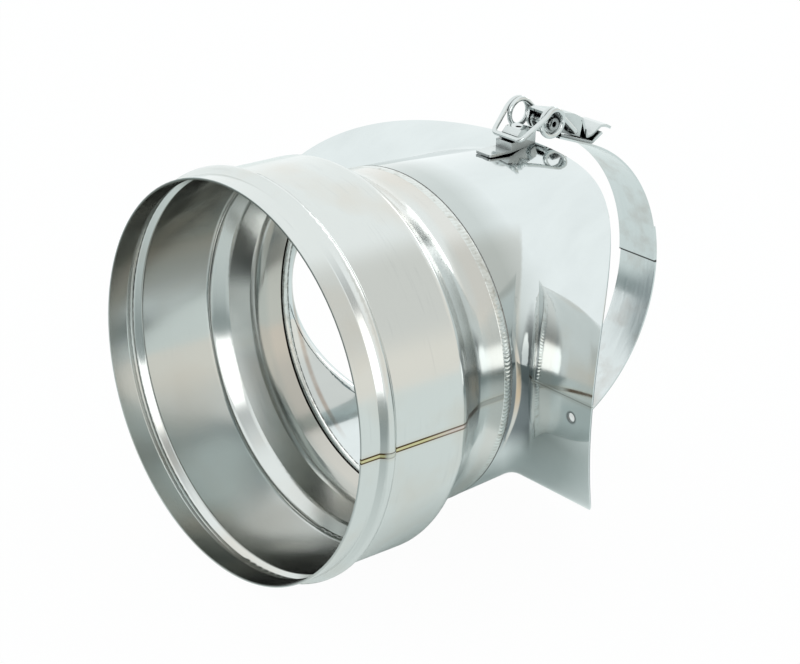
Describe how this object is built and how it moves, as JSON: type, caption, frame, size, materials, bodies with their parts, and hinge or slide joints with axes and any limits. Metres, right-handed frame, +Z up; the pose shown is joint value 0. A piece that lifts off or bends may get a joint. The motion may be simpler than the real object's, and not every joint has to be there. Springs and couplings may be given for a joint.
{
  "type": "flue pipe adapter",
  "caption": "Stainless saddle branch that straps onto a round flue pipe with a sprung toggle latch and opens into a wide beaded socket for another pipe.",
  "frame": {"origin": "where the flue pipe's axis meets the branch's axis", "axes": "+X along the flue pipe, -Y out of the socket's mouth, +Z up through the latch"},
  "size_m": [0.201, 0.2178, 0.1597],
  "materials": {
    "rolled_sheet": "fine mill finish, brushed round",
    "polished_sheet": "mirror polished",
    "band_sheet": "bright mill finish",
    "ripple_weld": "rippled weld",
    "tinted_weld": "heat-tinted weld",
    "latch_steel": "satin",
    "spring_wire": "drawn, bright"
  },
  "bodies": {
    "adapter": {"socket_collar": "rolled_sheet", "collar_seam_weld": "tinted_weld", "neck_weld_ring": "ripple_weld", "saddle": "polished_sheet", "saddle_seam_weld": "tinted_weld", "strap_upper": "band_sheet", "strap_lower": "band_sheet", "latch_base": "latch_steel", "pivot_rivet": "latch_steel", "catch_plate": "latch_steel"},
    "lever": {"latch_lever": "latch_steel"},
    "bail": {"bail_wire": "spring_wire"}
  },
  "joints": [
    {"name": "lever_pivot", "type": "hinge", "parent": "adapter", "child": "lever", "pos_m": [0, 0.0033, 0.0728], "axis": [1, 0, 0], "range_deg": [0, 110]},
    {"name": "bail_pivot", "type": "hinge", "parent": "lever", "child": "bail", "pos_m": [0, 0.0144, 0.068], "axis": [1, 0, 0], "range_deg": [-176, 0]}
  ],
  "couplings": [
    {"joint": "bail_pivot", "follows": "lever_pivot", "ratio": -1.6}
  ]
}
